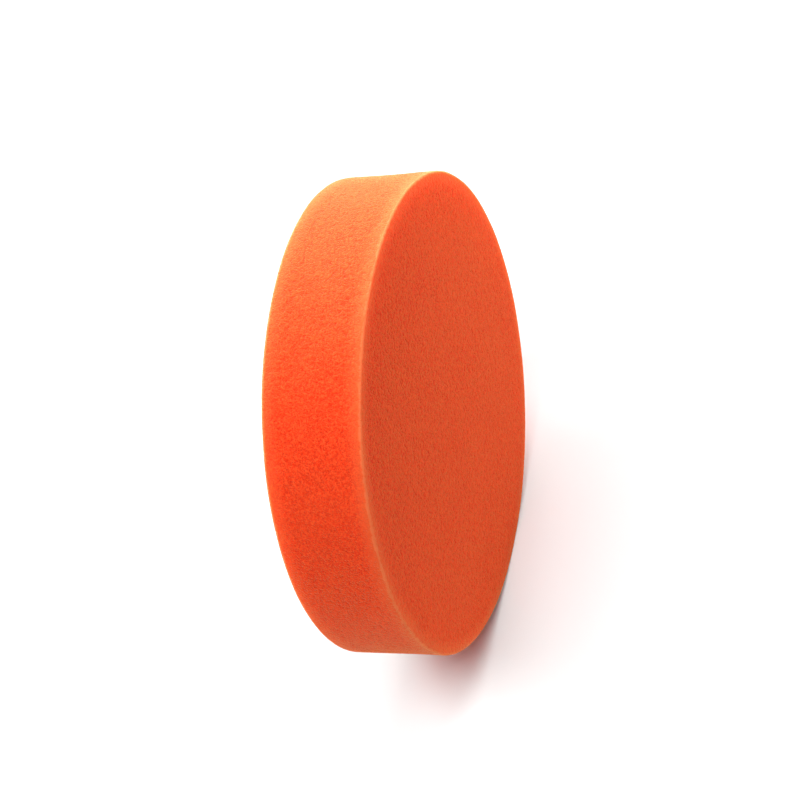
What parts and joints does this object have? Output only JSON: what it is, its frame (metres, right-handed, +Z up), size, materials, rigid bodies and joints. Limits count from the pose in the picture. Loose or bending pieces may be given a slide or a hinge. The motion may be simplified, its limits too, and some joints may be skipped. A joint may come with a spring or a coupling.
{
  "type": "polishing pad",
  "caption": "Round flat foam polishing pad with a hook-and-loop fabric back, for a rotary or orbital polisher.",
  "frame": {"origin": "centre of the loop face, where the pad meets a machine's backing plate", "axes": "+Y out of the loop face along the pad's axis towards the machine, -Y out of the working face, +Z up with the pad standing on its rim, +X completing the right-handed frame"},
  "size_m": [0.125, 0.0269, 0.125],
  "materials": {
    "foam": "orange open-cell polyurethane foam, matt, fine cells",
    "film": "thin hot-melt film, slightly milky",
    "ground_cloth": "off-white knitted synthetic ground",
    "pile": "off-white brushed synthetic loops"
  },
  "bodies": {
    "root": {"foam_disc": "foam", "adhesive_film": "film", "loop_ground_cloth": "ground_cloth", "loop_pile": "pile"}
  },
  "joints": []
}
